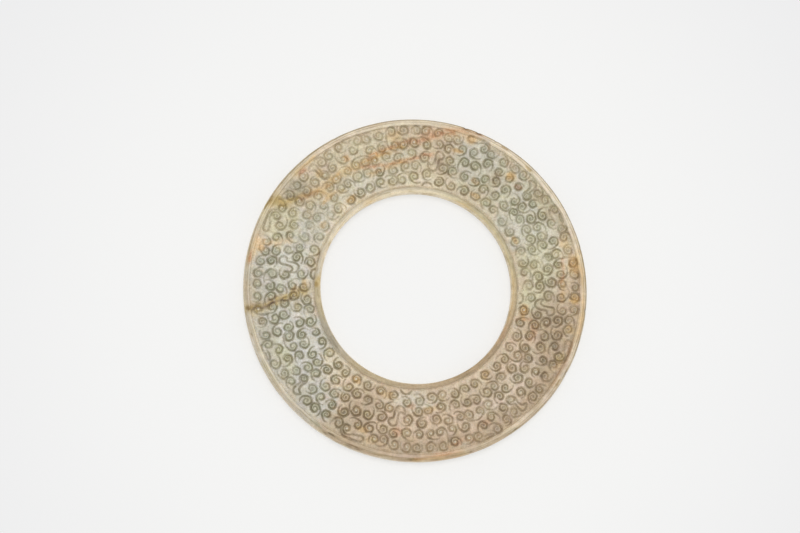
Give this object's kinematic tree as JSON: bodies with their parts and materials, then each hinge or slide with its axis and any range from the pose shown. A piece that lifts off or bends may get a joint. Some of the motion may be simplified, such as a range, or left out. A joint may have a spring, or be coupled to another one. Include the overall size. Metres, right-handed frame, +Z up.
{
  "type": "carved jade ring disc",
  "caption": "Flat carved stone ring with a round central hole, plain rims and a field of low spiral curls on both faces.",
  "frame": {"origin": "centre of the hole, on the plane that the lower rims rest on", "axes": "+Z up through the hole, square to the faces; +Y to the top of the disc as it is shown in the picture, +X to its right"},
  "size_m": [0.104, 0.104, 0.0045],
  "materials": {
    "jade": "polished nephrite, buff and grey green with brown and rust stains, waxy gloss on the rims"
  },
  "bodies": {
    "root": {"jade_disc": "jade"}
  },
  "joints": []
}
